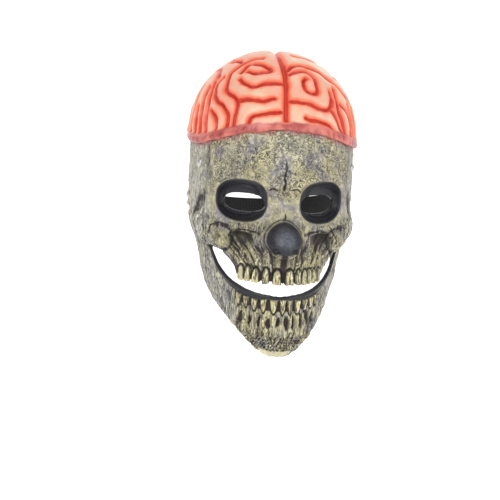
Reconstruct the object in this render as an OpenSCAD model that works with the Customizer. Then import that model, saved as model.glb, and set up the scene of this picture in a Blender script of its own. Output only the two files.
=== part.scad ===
// Latex skull mask with an exposed brain and a jaw that moves with the wearer's chin.
// The face looks along -Y. The origin is the wearer's crown, straight above the jaw's pivots.

/* [Head] */
// Half width of the skull casting at the temples
skull_half_w = 78.5; // [72:0.5:86]
// Reach of the brow in front of the jaw's pivots
brow_reach = 90; // [82:0.5:98]
// Height of the brain's top above the wearer's crown
brain_top = 20; // [16:0.5:28]
// Half width of the brain casting
brain_half_w = 82; // [80:0.5:90]
// Reach of the brain casting behind the pivots
brain_back = 108; // [98:1:118]
// Thickness of the latex castings
wall = 2.5; // [1.8:0.1:3.2]

/* [Face] */
// Height of the brain's edge at the middle of the forehead
rim_front_z = -49; // [-54:0.5:-44]
// Height of the brain's edge at the temples
rim_side_z = -68; // [-72:0.5:-62]
// Height of the pupils
eye_z = -117; // [-121:0.5:-113]
// Distance from the middle of the face to the middle of an eye hole
eye_x = 37; // [34:0.5:39]
// Width of an eye hole
eye_hole_w = 36; // [28:0.5:40]
// Height of an eye hole
eye_hole_h = 22; // [16:0.5:26]
// Depth of the eye sockets
socket_depth = 10; // [6:0.5:12]
// Height of the edge below the upper teeth
teeth_edge_z = -193; // [-198:0.5:-188]
// Angle round the head where the skull casting ends behind the temples
rear_angle = 97; // [94:0.5:102]

/* [Jaw] */
// Height of the jaw's pivots
pivot_z = -122; // [-126:0.5:-118]
// Height of the jaw's upper edge at the middle
lip_z = -206; // [-212:0.5:-202]
// Height of the chin's lowest edge
chin_z = -263; // [-272:0.5:-252]
// Reach of the chin in front of the pivots
chin_reach = 94; // [86:0.5:102]
// Half width of the jaw at its angles
jaw_half_w = 61; // [57:0.5:65]

/* [Fastening] */
// Diameter of a rivet's post
post_d = 4; // [3:0.1:5]
// Diameter of a rivet's cap
cap_d = 8.4; // [7:0.1:10]
// Width of the elastic straps
strap_w = 18; // [12:1:20]
// Thickness of the elastic
strap_t = 1.6; // [1:0.1:2]
// Reach of the upper strap behind the pivots, round the back of the head
strap_back = 114; // [104:1:120]
// Angle that the lower strap slopes down towards the nape
strap_slope = 13; // [8:0.5:16]
// Thickness of the foam pads
pad_t = 8; // [5:0.5:12]
// Running gap between a post and an eyelet
running_gap = 0.06; // [0.03:0.01:0.1]

/* [Hidden] */
gap = 0.3;

// Skull sections from the rim down: height, half width, reach
SKULL = [
    [-40, skull_half_w - 2.5, brow_reach - 10], [-66, skull_half_w, brow_reach - 6],
    [-87, skull_half_w, brow_reach - 3], [-100, skull_half_w, brow_reach],
    [-110, skull_half_w, brow_reach - 2], [-134, skull_half_w, brow_reach - 3],
    [-141, skull_half_w + 3.5, brow_reach - 1], [-148, skull_half_w + 3.5, brow_reach + 2],
    [-157, skull_half_w, brow_reach + 6], [-165, skull_half_w - 7.5, brow_reach + 9],
    [-172, skull_half_w - 13.5, brow_reach + 12], [-180, skull_half_w - 17.5, brow_reach + 14],
    [-200, skull_half_w - 20.5, brow_reach + 15]];
// Jaw sections from the pivots down: height, half width, reach
arm_gap = 1.5;
arm_half_w = skull_half_w - wall - arm_gap;
JAW = [
    [-100, arm_half_w, chin_reach - 10], [-140, arm_half_w, chin_reach - 8],
    [-160, arm_half_w - 2.6, chin_reach - 6], [-172, arm_half_w - 6, chin_reach - 5],
    [-185, jaw_half_w + 4, chin_reach - 4], [-199, jaw_half_w + 1.5, chin_reach - 3],
    [-211, jaw_half_w, chin_reach - 2], [-230, jaw_half_w - 4, chin_reach - 1],
    [-250, jaw_half_w - 10, chin_reach], [-275, jaw_half_w - 16, chin_reach - 1]];
// Edges by angle round the head, front to rear
RIM = [[0, rim_front_z], [25, rim_front_z - 3], [60, rim_side_z + 2], [75, rim_side_z - 2], [97, rim_side_z],
    [130, rim_side_z + 8], [180, rim_side_z + 16]];
FACE_EDGE = [[0, teeth_edge_z], [36, teeth_edge_z + 1], [42, teeth_edge_z + 3.5], [46, teeth_edge_z + 13],
    [48.5, teeth_edge_z + 24], [52, teeth_edge_z + 26.5], [60, teeth_edge_z + 27], [68, teeth_edge_z + 32],
    [74, teeth_edge_z + 42], [78, teeth_edge_z + 54], [84, pivot_z - 10], [110, pivot_z - 9]];
LIP = [[0, lip_z], [20, lip_z + 2.5], [35, lip_z + 7], [46, lip_z + 13], [56, lip_z + 23], [62, lip_z + 34],
    [66, lip_z + 48], [70, pivot_z - 14], [76, pivot_z + 5], [84, pivot_z + 9], [92, pivot_z + 9],
    [97, pivot_z + 5]];
CHIN_EDGE = [[0, chin_z], [14, chin_z + 1], [30, chin_z + 10], [45, chin_z + 24], [65, chin_z + 41],
    [78, chin_z + 52], [86, chin_z + 68], [91, chin_z + 96], [97, pivot_z - 12]];

// A table read with its corners rounded over `reach` either side
function soft(x, table, reach) =
    let (steps = [for (k = [-2:2]) lookup(x + k * reach / 2, table)])
    steps * [1, 1, 1, 1, 1] / 5;
function section_table(sections, column) = [for (k = [len(sections) - 1:-1:0]) [sections[k][0], sections[k][column]]];
function edge(angle, table) = soft(abs(angle), table, 5);

// 1 inside an ellipse, 0 outside, with a soft border from `inner` to 1
function patch(x, z, centre, radii, inner) =
    let (r = norm([(x - centre[0]) / radii[0], (z - centre[1]) / radii[1]]), t = (1 - r) / (1 - inner))
    t <= 0 ? 0 : t >= 1 ? 1 : t * t * (3 - 2 * t);

// Relief of the bony face over the plain skin, forwards in millimetres
function relief(x, z) =
    let (ax = abs(x))
    4 * patch(ax, z, [34, eye_z + 22], [34, 10], 0)
    - socket_depth * patch(ax, z, [eye_x, eye_z - 0.5], [23, 21], 0.7)
    - 4 * patch(ax, z, [0, eye_z + 3], [10, 14], 0)
    + 16 * patch(ax, z, [0, eye_z - 34], [20, 19], 0)
    - 7 * patch(ax, z, [33, eye_z - 38], [12, 11], 0)
    + 4 * patch(ax, z, [54, eye_z - 41], [13, 12], 0);
// Hollow of the temples, sideways in millimetres
function hollow(x, z) = 3.5 * patch(abs(x), z, [skull_half_w - 9.5, pivot_z - 5], [7, 13], 0);

function skull_point(angle, z, depth) =
    let (w = soft(z, section_table(SKULL, 1), 5), f = soft(z, section_table(SKULL, 2), 5),
        x = w * sin(angle))
    [(w - hollow(x, z) - depth) * sin(angle), -(f - depth) * cos(angle) - relief(x, z), z];
function jaw_point(angle, z, depth) =
    let (w = soft(z, section_table(JAW, 1), 5), f = soft(z, section_table(JAW, 2), 5))
    [(w - depth) * sin(angle), -(f - depth) * cos(angle), z];

// The brain's outer skin, with the long fissure pressed in along the middle
brain_base_z = -62;
brain_front = brow_reach - 4;
fissure_depth = 4;
function brain_point(turn, drop, depth) =
    let (reach = cos(turn) > 0 ? brain_front : brain_back,
        x = brain_half_w * sin(drop) * sin(turn),
        d = depth + fissure_depth * exp(-x * x / 16))
    [(brain_half_w - d) * sin(drop) * sin(turn), -(reach - d) * sin(drop) * cos(turn),
        brain_base_z + (brain_top - brain_base_z - d) * cos(drop)];

// A closed shell between two grids of points. keep(i, j) says which cells have material.
module shell(outer, inner, keep = function(i, j) true, closed = false, pole = false) {
    columns = len(outer);
    rows = len(outer[0]);
    cells = closed ? columns : columns - 1;
    index = function(i, j) (pole && j == 0) ? 0 : (i % columns) * rows + j;
    half = columns * rows;
    has = function(i, j) j >= 0 && j < rows - 1 && (closed || (i >= 0 && i < cells))
        && keep((i + columns) % columns, j);
    quad = function(a, b, c, d) [for (t = [[a, b, c], [a, c, d]])
        if (t[0] != t[1] && t[1] != t[2] && t[0] != t[2]) t];
    faces = [for (i = [0:cells - 1], j = [0:rows - 2]) if (has(i, j))
        let (a = index(i, j), b = index(i + 1, j), c = index(i + 1, j + 1), d = index(i, j + 1))
        each concat(quad(a, b, c, d), quad(half + d, half + c, half + b, half + a),
            has(i, j - 1) || (pole && j == 0) ? [] : quad(b, a, half + a, half + b),
            has(i, j + 1) ? [] : quad(d, c, half + c, half + d),
            has(i - 1, j) ? [] : quad(a, d, half + d, half + a),
            has(i + 1, j) ? [] : quad(c, b, half + b, half + c))];
    polyhedron(points = concat([for (column = outer) each column], [for (column = inner) each column]),
        faces = faces);
}

// Evenly spaced values from a to b, without b
function steps(a, b, count) = [for (k = [0:count - 1]) a + (b - a) * k / count];

// Bends the square ring of grid lines round a hole into an ellipse, fading out at twice its size
function round_off(p, centre, half) =
    let (a = (p[0] - centre[0]) / half[0], b = (p[1] - centre[1]) / half[1],
        m = max(abs(a), abs(b)), r = norm([a, b]),
        fade = m <= 1 ? 1 : m >= 1.8 ? 0 : (1.8 - m) / 0.8,
        k = r == 0 ? 1 : 1 + (m / r - 1) * fade)
    [centre[0] + a * half[0] * k, centre[1] + b * half[1] * k];

// Skull grid: columns by angle, rows by height, with lines on the borders of both eye holes
eye_w = soft(eye_z, section_table(SKULL, 1), 5);
eye_in = asin((eye_x - eye_hole_w / 2) / eye_w);
eye_out = asin((eye_x + eye_hole_w / 2) / eye_w);
SKULL_COLUMNS = concat(steps(-rear_angle, -eye_out, 12), steps(-eye_out, -eye_in, 8), steps(-eye_in, eye_in, 9),
    steps(eye_in, eye_out, 8), steps(eye_out, rear_angle, 12), [rear_angle]);
eye_top = eye_z + eye_hole_h / 2;
eye_bottom = eye_z - eye_hole_h / 2;
function skull_rows(angle) = concat(steps(edge(angle, RIM), eye_top, 11), steps(eye_top, eye_bottom, 6),
    steps(eye_bottom, edge(angle, FACE_EDGE), 17), [edge(angle, FACE_EDGE)]);
function skull_grid(depth) =
    let (half = [(eye_out - eye_in) / 2, eye_hole_h / 2], middle = (eye_in + eye_out) / 2)
    [for (angle = SKULL_COLUMNS) [for (z = skull_rows(angle))
        let (p = round_off([abs(angle), z], [middle, eye_z], half))
        skull_point(sign(angle) * p[0], p[1], depth)]];

// Where rivets go through the skull casting: outwards is the local +Z, from the casting's outer skin
temple_angle = 70;
temple_z = rim_side_z - 20;
module rivet_place(side, angle, z) {
    w = soft(z, section_table(SKULL, 1), 5);
    f = soft(z, section_table(SKULL, 2), 5);
    swing = atan2(w * cos(angle), f * sin(angle));
    translate(skull_point(side * angle, z, 0)) rotate([0, 90, side > 0 ? -swing : 180 + swing]) children();
}
module pivot_place(side) rivet_place(side, 90, pivot_z) children();
module temple_place(side) rivet_place(side, temple_angle, temple_z) children();

module ring(outer_d, inner_d, bottom, top) translate([0, 0, bottom]) difference() {
    cylinder(d = outer_d, h = top - bottom, $fn = 64);
    translate([0, 0, -1]) cylinder(d = inner_d, h = top - bottom + 2, $fn = 64);
}

module skull_casting() {
    is_eye = function(i, j) ((i >= 12 && i < 20) || (i >= 29 && i < 37)) && j >= 11 && j < 17;
    color("#a8a48c") difference() {
        shell(skull_grid(0), skull_grid(wall), function(i, j) !is_eye(i, j));
        for (side = [-1, 1]) {
            pivot_place(side) post_hole(post_d);
            temple_place(side) post_hole(post_d);
        }
    }
}
module post_hole(d) translate([0, 0, -12]) cylinder(d = d, h = 24, $fn = 64);

// Brain grid: a full turn of columns, rows from the top down to a flange inside the skull's rim
brain_columns = 60;
brain_rows = 18;
flange_h = 6.5;
neck_h = 5;
function brain_column(turn, depth) =
    let (around = turn > 180 ? turn - 360 : turn,
        rim = edge(around, RIM),
        last = acos((rim + neck_h - brain_base_z) / (brain_top - brain_base_z)),
        flange = abs(around) < rear_angle - 3 ? flange_h : 2)
    concat([for (k = [0:brain_rows]) brain_point(around, last * k / brain_rows, depth)],
        [for (z = [rim + 0.5, rim - flange]) flange_point(around, z, depth)]);
function flange_point(around, z, depth) =
    let (inside = wall + gap + depth)
    abs(around) < rear_angle + 8 ? skull_point(around, z, inside)
        : let (w = skull_half_w - inside) [w * sin(around), (brain_back - 5 - inside) * -cos(around), z];

module brain_casting() {
    outer = [for (i = [0:brain_columns - 1]) brain_column(360 * i / brain_columns, 0)];
    inner = [for (i = [0:brain_columns - 1]) brain_column(360 * i / brain_columns, wall)];
    color("#e8a58c") shell(outer, inner, closed = true, pole = true);
}

// Jaw grid: columns by angle from one ramus to the other, rows from the lip to the chin's edge
jaw_rear_angle = 96;
eyelet_tube_d = 6.4;
function jaw_grid(depth) = [for (k = [0:56])
    let (angle = jaw_rear_angle * (k / 28 - 1), top = edge(angle, LIP), bottom = edge(angle, CHIN_EDGE))
    [for (z = concat(steps(top, bottom, 16), [bottom])) jaw_point(angle, z, depth)]];
module jaw_casting() {
    color("#9c9a86") difference() {
        shell(jaw_grid(0), jaw_grid(wall));
        for (side = [-1, 1]) pivot_place(side) post_hole(eyelet_tube_d);
    }
}

// A pad or tape on the inside of a casting: `at` is the casting's surface
module lining(at, from, to, top, bottom, depth, thickness, columns, rows) {
    grid = function(d) [for (angle = concat(steps(from, to, columns), [to]))
        [for (z = concat(steps(top(angle), bottom(angle), rows), [bottom(angle)])) at(angle, z, d)]];
    shell(grid(depth), grid(depth + thickness));
}
skull_at = function(angle, z, depth) skull_point(angle, z, depth);
jaw_at = function(angle, z, depth) jaw_point(angle, z, depth);
inside_skull = wall + gap;
pad_gap = 0.9;
cheek_pad_gap = 1.4;

module seam_tape() {
    tape_end = rear_angle - 5;
    color("#b9a98a") lining(skull_at, -tape_end, tape_end, function(angle) edge(angle, RIM) - 1.5,
        function(angle) edge(angle, RIM) - flange_h, 2 * inside_skull, 0.8, 36, 1);
}
module brow_pad() {
    color("#2b2b2d") lining(skull_at, -36, 36, function(angle) edge(angle, RIM) - flange_h - 2.5,
        function(angle) eye_z + 24, wall + pad_gap, pad_t, 14, 5);
}
module cheek_pad() {
    color("#2b2b2d") lining(skull_at, 39, 57, function(angle) eye_z - 14,
        function(angle) eye_z - 40, wall + cheek_pad_gap, pad_t, 6, 6);
}
module cheek_pad_left() cheek_pad();
module cheek_pad_right() mirror([1, 0, 0]) cheek_pad();
module chin_pad() {
    color("#2b2b2d") lining(jaw_at, -34, 34, function(angle) lip_z - 12, function(angle) lip_z - 38,
        wall + pad_gap, pad_t + 4, 14, 5);
}
module crown_pad() {
    turns = steps(0, 360, 24);
    grid = function(depth) [for (turn = turns) [for (k = [0:5])
        brain_point(turn > 180 ? turn - 360 : turn, 5.5 * k, depth)]];
    color("#2b2b2d") shell(grid(wall + pad_gap), grid(wall + pad_gap + pad_t), closed = true, pole = true);
}

// Rivets, from the outside in: cap, skull casting, spacer, eyelet in the jaw, strap, back
cap_h = 2.2;
spacer_t = 0.5;
flange_t = 0.4;
// What a flat washer or cap needs on a curved wall
seat = 0.2;
eyelet_outer = -wall - arm_gap;
eyelet_inner = eyelet_outer - wall - seat;
pivot_strap_top = eyelet_inner - flange_t - gap;
temple_strap_top = -wall - 0.6;
back_t = 1.2;
module cap() rotate_extrude($fn = 64) intersection() {
    translate([0, cap_h - (cap_d * cap_d / 4 + cap_h * cap_h) / (2 * cap_h)])
        circle(r = (cap_d * cap_d / 4 + cap_h * cap_h) / (2 * cap_h), $fn = 128);
    square([cap_d, cap_h]);
}
module rivet(length) color("#c9c8c4") {
    translate([0, 0, seat]) cap();
    translate([0, 0, -length]) cylinder(d = post_d, h = length + seat, $fn = 64);
}
pivot_post = -pivot_strap_top + strap_t + seat + back_t;
temple_post = -temple_strap_top + strap_t + seat + back_t;
module pivot_rivet(side) pivot_place(side) rivet(pivot_post);
module temple_rivet(side) temple_place(side) rivet(temple_post);
module rivet_back(post) color("#b5b3ad") ring(cap_d + 1, post_d, -post, -post + back_t);
module jaw_eyelet(side) color("#b8b6ae") pivot_place(side) {
    bore = post_d + 2 * running_gap;
    ring(eyelet_tube_d, bore, eyelet_inner - flange_t, eyelet_outer + flange_t);
    ring(cap_d + 1, eyelet_tube_d, eyelet_inner - flange_t, eyelet_inner);
    ring(cap_d + 1, eyelet_tube_d, eyelet_outer, eyelet_outer + flange_t);
}

// An elastic strap round the back of the head, from one side's rivet to the other's
module strap(from, z, top, back, slope) {
    w = skull_half_w + top;
    front = soft(z, section_table(SKULL, 2), 5) + top;
    at = function(angle, v, depth)
        let (reach = (cos(angle) > 0 ? front : back) - depth, behind = max(0, -back * cos(angle)))
        [(w - depth) * sin(angle), -reach * cos(angle), z + v - behind * tan(slope)];
    grid = function(depth) [for (angle = concat(steps(from, 360 - from, 64), [360 - from]))
        [for (v = [strap_w / 2, -strap_w / 2]) at(angle, v, depth)]];
    shell(grid(0), grid(strap_t));
}
module upper_strap() color("#1c1c1e") difference() {
    strap(temple_angle - 5, temple_z, temple_strap_top, strap_back, 0);
    for (side = [-1, 1]) temple_place(side) post_hole(post_d);
}
module lower_strap() color("#1c1c1e") difference() {
    strap(84, pivot_z, pivot_strap_top, strap_back - 12, strap_slope);
    for (side = [-1, 1]) pivot_place(side) post_hole(post_d);
}

module jaw_eyelet_left() jaw_eyelet(1);
module jaw_eyelet_right() jaw_eyelet(-1);
module pivot_rivet_left() pivot_rivet(1);
module pivot_rivet_right() pivot_rivet(-1);
module temple_rivet_left() temple_rivet(1);
module temple_rivet_right() temple_rivet(-1);
module pivot_rivet_back_left() pivot_place(1) rivet_back(pivot_post);
module pivot_rivet_back_right() pivot_place(-1) rivet_back(pivot_post);
module temple_rivet_back_left() temple_place(1) rivet_back(temple_post);
module temple_rivet_back_right() temple_place(-1) rivet_back(temple_post);
module pivot_spacer(side) color("#b5b3ad") pivot_place(side) ring(cap_d + 1, post_d, -wall - seat - spacer_t, -wall - seat);
module pivot_spacer_left() pivot_spacer(1);
module pivot_spacer_right() pivot_spacer(-1);

skull_casting();
brain_casting();
jaw_casting();
seam_tape();
crown_pad();
brow_pad();
cheek_pad_left();
cheek_pad_right();
chin_pad();
jaw_eyelet_left();
jaw_eyelet_right();
pivot_rivet_left();
pivot_rivet_right();
pivot_rivet_back_left();
pivot_rivet_back_right();
pivot_spacer_left();
pivot_spacer_right();
temple_rivet_left();
temple_rivet_right();
temple_rivet_back_left();
temple_rivet_back_right();
upper_strap();
lower_strap();
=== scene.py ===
"""Latex skull mask with an exposed brain and a hinged jaw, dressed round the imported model.

Lengths in this file are millimetres until a mesh is made. Tables and functions take the angle round the head
in degrees, 0 at the nose, and heights from the crown down, so they are negative.
"""
import math

import bpy
import numpy as np
from mathutils import Matrix, Vector
from mathutils.kdtree import KDTree


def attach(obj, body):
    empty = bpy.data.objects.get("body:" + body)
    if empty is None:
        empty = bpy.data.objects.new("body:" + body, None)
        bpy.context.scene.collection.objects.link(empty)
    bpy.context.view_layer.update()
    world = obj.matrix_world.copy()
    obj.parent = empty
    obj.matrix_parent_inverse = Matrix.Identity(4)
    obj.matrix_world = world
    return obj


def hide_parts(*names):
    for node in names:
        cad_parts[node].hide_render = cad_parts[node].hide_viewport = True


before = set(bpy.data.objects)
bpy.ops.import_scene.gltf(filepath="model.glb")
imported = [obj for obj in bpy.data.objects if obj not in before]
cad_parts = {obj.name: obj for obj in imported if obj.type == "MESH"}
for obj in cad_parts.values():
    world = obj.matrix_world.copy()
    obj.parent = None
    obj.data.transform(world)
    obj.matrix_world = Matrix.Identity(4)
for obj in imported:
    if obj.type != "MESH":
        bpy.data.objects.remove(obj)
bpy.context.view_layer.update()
MM = 0.001

# ---------------------------------------------------------------- camera, light, floor


def add_camera(target, azimuth, elevation, roll, distance, lens):
    """A long lens that looks at target from an azimuth and an elevation in degrees."""
    a, e, r = math.radians(azimuth), math.radians(elevation), math.radians(roll)
    back = Vector((math.sin(a) * math.cos(e), -math.cos(a) * math.cos(e), math.sin(e)))
    right = Vector((0, 0, 1)).cross(back).normalized()
    up = back.cross(right)
    right, up = right * math.cos(r) + up * math.sin(r), up * math.cos(r) - right * math.sin(r)
    data = bpy.data.cameras.new("portrait_camera")
    data.lens = lens
    data.clip_end = 20
    camera = bpy.data.objects.new("portrait_camera", data)
    bpy.context.collection.objects.link(camera)
    turned = Matrix((right, up, back)).transposed()
    camera.matrix_world = Matrix.Translation(Vector(target) + back * distance) @ turned.to_4x4()
    bpy.context.scene.camera = camera


def add_light(name, place, target, size, energy):
    data = bpy.data.lights.new(name, "AREA")
    data.shape = "RECTANGLE"
    data.size = data.size_y = size
    data.energy = energy
    lamp = bpy.data.objects.new(name, data)
    bpy.context.collection.objects.link(lamp)
    lamp.location = place
    lamp.rotation_euler = (Vector(target) - Vector(place)).to_track_quat("-Z", "Y").to_euler()


def add_world(strength):
    world = bpy.data.worlds.new("studio")
    bpy.context.scene.world = world
    world.use_nodes = True
    background = world.node_tree.nodes["Background"]
    background.inputs["Color"].default_value = (1, 1, 1, 1)
    background.inputs["Strength"].default_value = strength


head_middle = (0, 0, -0.12)
add_camera((-0.016, 0.0, -0.175), azimuth=-9, elevation=8, roll=2.9, distance=2.6, lens=193)
add_light("key", (-1.1, -1.9, 1.1), head_middle, size=1.3, energy=30)
add_light("fill", (1.7, -1.6, 0.3), head_middle, size=1.6, energy=20)
add_light("top", (0.1, 0.2, 1.8), head_middle, size=1.4, energy=8)
add_light("rim", (0.9, 1.7, 0.6), head_middle, size=1.2, energy=4)
add_world(strength=0.58)
bpy.context.scene.view_settings.view_transform = "Standard"

# ---------------------------------------------------------------- shader nodes


def add_node(tree, kind, settings, output, sockets):
    """A node with its settings made first and then the values or links of its sockets, by name or number."""
    made = tree.nodes.new(kind)
    for name, value in settings.items():
        setattr(made, name, value)
    for key, value in sockets.items():
        socket = made.inputs[key]
        if isinstance(value, Value):
            tree.links.new(value.socket, socket)
        elif socket.type == "RGBA":
            socket.default_value = (*value, 1)
        else:
            socket.default_value = value
    return Value(tree, made.outputs[output])


class Value:
    """A shader socket that can be added, multiplied and so on in plain expressions."""

    def __init__(self, tree, socket):
        self.tree, self.socket = tree, socket

    def math(self, operation, other=0.0):
        return add_node(self.tree, "ShaderNodeMath", {"operation": operation}, 0, {0: self, 1: other})

    def __add__(self, other):
        return self.math("ADD", other)

    def __radd__(self, other):
        return self.math("ADD", other)

    def __sub__(self, other):
        return self.math("SUBTRACT", other)

    def __rsub__(self, other):
        return (self * -1) + other

    def __mul__(self, other):
        return self.math("MULTIPLY", other)

    def __rmul__(self, other):
        return self.math("MULTIPLY", other)

    def step(self, low, high):
        """0 below low, 1 above high, smooth between them."""
        return add_node(self.tree, "ShaderNodeMapRange", {"interpolation_type": "SMOOTHSTEP"}, "Result",
                        {"Value": self, "From Min": low, "From Max": high})


class Finish:
    """A material whose nodes are added one call at a time."""

    def __init__(self, name, roughness, metallic=0.0, specular=0.5):
        self.material = bpy.data.materials.new(name)
        self.material.use_nodes = True
        self.tree = self.material.node_tree
        self.shader = self.tree.nodes["Principled BSDF"]
        self.shader.inputs["Roughness"].default_value = roughness
        self.shader.inputs["Metallic"].default_value = metallic
        self.shader.inputs["Specular IOR Level"].default_value = specular
        self.place = self.node("ShaderNodeTexCoord", output="Object")

    def node(self, kind, settings=None, output=0, sockets=None):
        return add_node(self.tree, kind, settings or {}, output, sockets or {})

    def painted(self, attribute):
        return self.node("ShaderNodeAttribute", {"attribute_name": attribute}, "Fac")

    def noise(self, scale, detail, distortion=0.0, stretch=None):
        place = self.place
        if stretch:
            place = self.node("ShaderNodeMapping", sockets={"Vector": place, "Scale": stretch})
        return self.node("ShaderNodeTexNoise", sockets={
            "Vector": place, "Scale": scale, "Detail": detail, "Distortion": distortion})

    def cells(self, scale, randomness=1.0):
        return self.node("ShaderNodeTexVoronoi", output="Distance", sockets={
            "Vector": self.place, "Scale": scale, "Randomness": randomness})

    def wave(self, vector, direction, scale, distortion):
        return self.node("ShaderNodeTexWave", {"bands_direction": direction}, "Fac",
                         {"Vector": vector, "Scale": scale, "Distortion": distortion})

    def mix(self, factor, a, b):
        """Colour a where the factor is 0, b where it is 1; 6, 7 and 2 are the Mix node's colour sockets."""
        return self.node("ShaderNodeMix", {"data_type": "RGBA"}, 2, {"Factor": factor, 6: a, 7: b})

    def bump(self, height, distance, strength=1.0):
        return self.node("ShaderNodeBump", sockets={
            "Strength": strength, "Distance": distance, "Height": height})

    def set(self, colour, roughness, normal):
        """Links what changes over the surface, and gives the material."""
        for name, value in (("Base Color", colour), ("Roughness", roughness), ("Normal", normal)):
            self.tree.links.new(value.socket, self.shader.inputs[name])
        return self.material


def paint_bone(name):
    """Crackled latex bone: dry-brushed ridges, dark wash, dark worm tracks, long streaks, the painted zones,
    and painted shade and highlights.
    """
    f = Finish(name, roughness=0.55, specular=0.35)
    crackle, streak, dark_wash_and_shade = f.painted("crackle"), f.painted("streak"), f.painted("dark_wash_and_shade")
    black, red, tooth, inside = f.painted("black"), f.painted("red"), f.painted("tooth"), f.painted("inside")
    side_grey_and_nose_highlight = f.painted("side_grey_and_nose_highlight")
    mottle = f.noise(300, 4, 0.4)
    colour = f.mix(f.noise(24, 3).step(0.38, 0.62), (0.50, 0.45, 0.255), (0.37, 0.355, 0.25))
    colour = f.mix(f.noise(48, 4, 0.6).step(0.44, 0.6) * 0.85, colour, (0.25, 0.235, 0.26))
    # Greyer paint towards the sides of the head
    colour = f.mix(side_grey_and_nose_highlight * 0.75, colour, (0.46, 0.45, 0.405))
    colour = f.mix(mottle.step(0.42, 0.68) * 0.55, colour, (0.70, 0.655, 0.47))
    # Ivory on the teeth and the yellow zones, which take in a painted highlight on the cheek knobs
    enamel = f.mix(mottle.step(0.4, 0.7), (0.55, 0.48, 0.22), (0.68, 0.64, 0.42))
    colour = f.mix(tooth * 0.7, colour, enamel)
    worm = 1 - (f.noise(350, 2, 1.3) - 0.5).math("ABSOLUTE").step(0.018, 0.075)
    bark = 1 - (f.noise(330, 3, 0.9, stretch=(1, 1, 0.2)) - 0.5).math("ABSOLUTE").step(0.016, 0.075)
    patchy = f.noise(75, 2).step(0.3, 0.5) * 0.6 + 0.4
    lines = (worm * crackle).math("MAXIMUM", bark * streak) * patchy
    colour = f.mix(lines * 0.92, colour, (0.045, 0.039, 0.042))
    # The mask's dark wash in hollows and cracks, plus painted shade round the cheek knobs
    colour = f.mix(dark_wash_and_shade, colour, (0.034, 0.027, 0.024))
    blood = f.mix(f.noise(120, 3).step(0.4, 0.65), (0.44, 0.15, 0.13), (0.27, 0.05, 0.05))
    colour = f.mix(red, colour, blood)
    bare_latex = f.mix(f.noise(40, 3), (0.62, 0.54, 0.44), (0.52, 0.43, 0.33))
    colour = f.mix(inside, colour, bare_latex)
    # Painted highlight: the black paint turns blue-grey on the nose's ball, with only a faint mottle
    # elsewhere in it
    black_mottle_and_highlight = (f.noise(420, 4, 0.4).step(0.3, 0.7) * 0.5 + 0.5) * (side_grey_and_nose_highlight * 0.9 + 0.1)
    colour = f.mix(black, colour, f.mix(black_mottle_and_highlight, (0.006, 0.006, 0.008), (0.10, 0.104, 0.13)))
    return f.set(colour, 0.62 - black * 0.2 - red * 0.2 + (mottle - 0.5) * 0.16,
                 f.bump((mottle * 0.35 - lines) * (1 - inside), 0.0009, 0.75))


def paint_brain(name):
    """Pale gyri with orange-red airbrushed between them, and a fleshy edge."""
    f = Finish(name, roughness=0.42, specular=0.4)
    groove, rim, inside = f.painted("groove"), f.painted("rim"), f.painted("inside")
    streaks = f.noise(170, 3, 0.5, stretch=(1, 1, 0.4))
    colour = f.mix(f.noise(32, 3).step(0.38, 0.66), (0.67, 0.335, 0.23), (0.65, 0.425, 0.29))
    colour = f.mix(f.noise(110, 3).step(0.5, 0.75) * 0.35, colour, (0.66, 0.24, 0.16))
    colour = f.mix(groove.step(0.06, 0.7) * (streaks * 0.5 + 0.6), colour, (0.80, 0.12, 0.05))
    colour = f.mix(groove.step(0.7, 1.0) * 0.85, colour, (0.46, 0.022, 0.012))
    flesh = f.mix(f.noise(60, 3).step(0.35, 0.65), (0.56, 0.155, 0.125), (0.36, 0.07, 0.065))
    flesh = f.mix(f.painted("crease") * (streaks * 0.6 + 0.3), flesh, (0.2, 0.024, 0.026))
    colour = f.mix(rim, colour, flesh)
    colour = f.mix(inside, colour, (0.62, 0.48, 0.34))
    return f.set(colour, 0.4 + (streaks - 0.5) * 0.2 + inside * 0.3 - rim * 0.08,
                 f.bump(f.noise(420, 3) * 0.5 + streaks * (rim + 0.4), 0.0005, 0.5))


def paint_metal(name, colour, roughness):
    """Plated metal with fine scratches and duller spots."""
    f = Finish(name, roughness, metallic=1.0)
    scratches = f.noise(900, 3, stretch=(1, 0.12, 1))
    spots = f.noise(260, 3)
    dull = tuple(c * 0.55 for c in colour)
    return f.set(f.mix(spots.step(0.5, 0.75) * 0.5, colour, dull), roughness + scratches * 0.2,
                 f.bump(scratches, 0.0001, 0.4))


def paint_foam(name):
    f = Finish(name, roughness=0.95, specular=0.2)
    pores = f.cells(1100)
    colour = f.mix(pores.step(0.15, 0.6), (0.012, 0.012, 0.013), (0.07, 0.07, 0.075))
    return f.set(colour, 0.9 + pores * 0.1, f.bump(pores, 0.0006, 0.8))


def paint_elastic(name):
    """Woven elastic: ribs across the band and a fine twill along it, from the band's own UV map."""
    f = Finish(name, roughness=0.8, specular=0.25)
    uv = f.node("ShaderNodeUVMap", {"uv_map": "band"})
    weave = f.wave(uv, "X", 0.19, 0.2) * 0.6 + f.wave(uv, "Y", 0.3, 0.1) * 0.4
    colour = f.mix(weave.step(0.2, 0.8), (0.006, 0.006, 0.007), (0.035, 0.035, 0.038))
    return f.set(colour, 0.72 + weave * 0.2, f.bump(weave, 0.0003, 0.9))


def paint_thread(name):
    f = Finish(name, roughness=0.5, specular=0.4)
    plies = f.noise(1500, 2, stretch=(1, 1, 0.5))
    colour = f.mix(plies.step(0.35, 0.65), (0.012, 0.012, 0.013), (0.06, 0.06, 0.064))
    return f.set(colour, 0.42 + plies * 0.2, f.bump(plies, 0.0001, 0.6))


def paint_tape(name):
    f = Finish(name, roughness=0.7)
    weave = f.cells(1400, randomness=0.3)
    colour = f.mix(weave.step(0.1, 0.6), (0.36, 0.3, 0.2), (0.62, 0.54, 0.4))
    return f.set(colour, 0.65 + weave * 0.2, f.bump(weave, 0.0003, 0.6))


# ---------------------------------------------------------------- shapes of the head, in millimetres

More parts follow.
